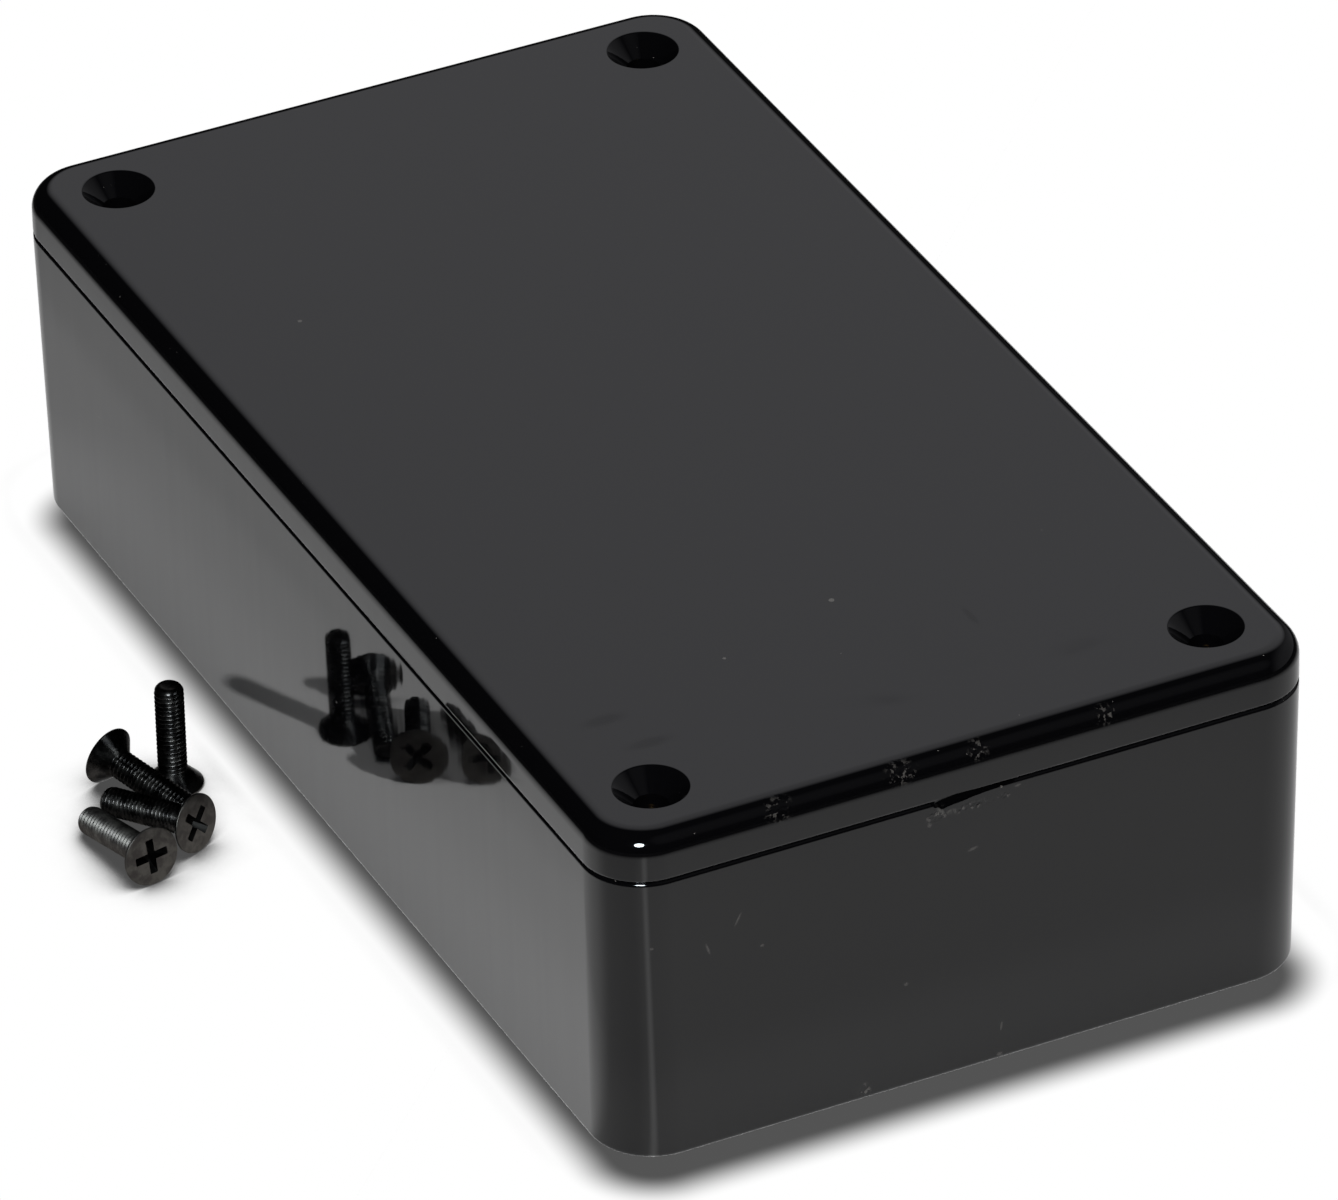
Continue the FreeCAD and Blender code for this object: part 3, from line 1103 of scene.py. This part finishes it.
def paper_levels(tree, place, split):
    outward = vectors(tree, "SUBTRACT", place, (*[v * MM for v in corner_middle], 0))
    heading = add(tree, "ShaderNodeSeparateXYZ", {"Vector": vectors(tree, "NORMALIZE", outward)})
    leftward = times(tree, heading.outputs["X"], -1)
    front = maths(tree, "SUBTRACT", 1, band(tree, heading.outputs["Y"], *front_start))
    aside = maths(tree, "SUBTRACT", times(tree, split.outputs["X"], -1), half_width * MM)
    paper = mixed_level(tree, band(tree, aside, *outer_band), paper_level, outer_band_level)
    grey = mixed_level(tree, band(tree, leftward, *shaded_start), front_shade_level, shaded_level)
    off_light_line = maths(tree, "ABSOLUTE", maths(tree, "SUBTRACT", leftward, light_line_place), 0)
    grey = mixed_level(tree, band(tree, off_light_line, 0, light_line_fade), light_line_level, grey)
    paper = mixed_level(tree, front, paper, grey)
    away = plan_distance(tree, split)
    gain = mixed_level(tree, band(tree, away, 0, foot_light_reach), painted_foot_light_gain, 1.0)
    lit = times(tree, paper, gain)
    return mixed_level(tree, band(tree, away, *lit_reach), lit, falloff_shade_level)


# The last value printed is the painted falloff beyond the lit paper.
print("paper", paper_level, "left,", front_shade_level, "in front,", falloff_shade_level, "on the table")

# %% [markdown]
# The camera sees the floor as paper that glows white, and everything else sees the greys above. The
# shade beside the box comes from the distance to its plan, moved a little, and the soft one under
# the screws from ambient occlusion. Plain shadows would also grey the white round them.

# %% Lay the floor
floor_size = 6.0
contact_reach = 0.0075
paper_roughness = 0.9
box_shade_shift = (-1.5, -4.16)
box_shade_edge = (-0.0022, 0.0032)
box_shade_level = 0.087
screw_shade_edge = (0.5, 0.95)
screw_shade_level = 0.07
shade_towards = (0.3, 0.64, 0.71)
clear_of_box = (0.0035, 0.0055)


def studio_floor():
    material, tree, shader, place = new_material("white paper floor")
    split = add(tree, "ShaderNodeSeparateXYZ", {"Vector": place})
    fill(tree, shader, {"Base Color": paper_levels(tree, place, split),
                        "Roughness": paper_roughness, "Specular IOR Level": 0})
    shifted = plan_distance(tree, split, box_shade_shift)
    box_shade = mixed_level(tree, band(tree, shifted, *box_shade_edge), box_shade_level, 1.0)
    nearby = add(tree, "ShaderNodeAmbientOcclusion", {
        "Distance": contact_reach, "Normal": shade_towards}, samples=16)
    small_shade = mixed_level(tree, band(tree, nearby.outputs["AO"], *screw_shade_edge),
                              screw_shade_level, 1.0)
    clear = band(tree, plan_distance(tree, split), *clear_of_box)
    shade = maths(tree, "MINIMUM", box_shade, mixed_level(tree, clear, 1.0, small_shade))
    glow = add(tree, "ShaderNodeEmission", {"Color": (1, 1, 1, 1), "Strength": shade})
    seen = add(tree, "ShaderNodeLightPath").outputs["Is Camera Ray"]
    mixed = add(tree, "ShaderNodeMixShader", {0: seen, 1: shader.outputs[0], 2: glow.outputs[0]})
    output = next(item for item in tree.nodes if item.type == "OUTPUT_MATERIAL")
    tree.links.new(mixed.outputs[0], output.inputs["Surface"])
    return material


floor_mesh = bpy.data.meshes.new("floor")
bm = bmesh.new()
bmesh.ops.create_grid(bm, x_segments=1, y_segments=1, size=floor_size / 2)
bm.to_mesh(floor_mesh)
bm.free()
floor_mesh.materials.append(studio_floor())
floor = placed("floor", floor_mesh)
print("floor", floor_size, "m wide of", floor_mesh.materials[0].name)

# %% [markdown]
# The room is painted on the world instead of built from objects, because soft edges come free: a
# softbox behind the box for the top, a faint glow in front, a pale side on the right, and next to
# black elsewhere. A patch is a direction and the angles at which it starts and is full.

# %% Paint the room
softbox_direction = Vector((0.394, 0.630, 0.669))
softbox_angles = (33, 13)
softbox_level = 0.56
faint_direction = Vector((0.3, -0.6, 0.74))
faint_angles = (28, 3)
faint_level = 0.06
room_level = 0.006
side_level = 0.16
side_start = (0.55, 0.9)


def patch(direction, towards, angles):
    """One inside a round patch of the room and zero outside it."""
    facing = vectors(tree, "DOT_PRODUCT", direction, tuple(towards.normalized()))
    return band(tree, facing, *[math.cos(math.radians(angle)) for angle in angles])


world = bpy.data.worlds.new("studio room")
world.use_nodes = True
bpy.context.scene.world = world
tree = world.node_tree
tree.nodes.clear()
direction = add(tree, "ShaderNodeTexCoord").outputs["Generated"]
softbox = times(tree, patch(direction, softbox_direction, softbox_angles), softbox_level)
faint = times(tree, patch(direction, faint_direction, faint_angles), faint_level)
rightward = add(tree, "ShaderNodeSeparateXYZ", {"Vector": direction}).outputs["X"]
side = times(tree, band(tree, rightward, *side_start), side_level)
level = maths(tree, "MAXIMUM", maths(tree, "MAXIMUM", softbox, faint), side)
room = add(tree, "ShaderNodeBackground", {
    "Color": colour("#fafaff"), "Strength": maths(tree, "MAXIMUM", level, room_level)})
white = add(tree, "ShaderNodeBackground", {"Strength": 1.0})
seen = add(tree, "ShaderNodeLightPath").outputs["Is Camera Ray"]
mixed = add(tree, "ShaderNodeMixShader", {0: seen, 1: room.outputs[0], 2: white.outputs[0]})
add(tree, "ShaderNodeOutputWorld", {"Surface": mixed.outputs[0]})
print("room levels", softbox_level, faint_level, side_level, room_level)

# %% [markdown]
# Three lamps share the work. The key lamp, near the camera on its left, throws the shadows. A large
# overhead one softens them. A third stands at the key's place and is only mirrored: it is the round
# reflector whose glint the near corner and the screws show.

# %% Hang the lamps
def hang(name, azimuth, elevation, distance, size, energy):
    """A round lamp that faces the box, placed by its azimuth from the near side."""
    spot = aimed(azimuth, elevation)
    lamp = placed(name, bpy.data.lights.new(name, "AREA"))
    lamp.data.shape = "DISK"
    lamp.data.size = size
    lamp.data.energy = energy
    lamp.location = spot * distance
    lamp.rotation_euler = spot.to_track_quat("Z", "Y").to_euler()
    return lamp


key_place = (math.radians(-29.8), math.radians(37), 1.3)
key = hang("key lamp", *key_place, size=0.09, energy=18)
key.visible_glossy = False
overhead = hang("overhead lamp", 0, math.radians(90), 0.9, size=0.4, energy=2.3)
overhead.visible_glossy = False
glint = hang("reflector glint", *key_place, size=0.31, energy=19)
glint.data.color = (0.82, 0.93, 1.0)
glint.visible_diffuse = False

bpy.context.scene.view_settings.view_transform = "Standard"
for lamp in (key, overhead, glint):
    print(lamp.name, lamp.data.size, "m wide,", round(lamp.data.energy, 1), "W")
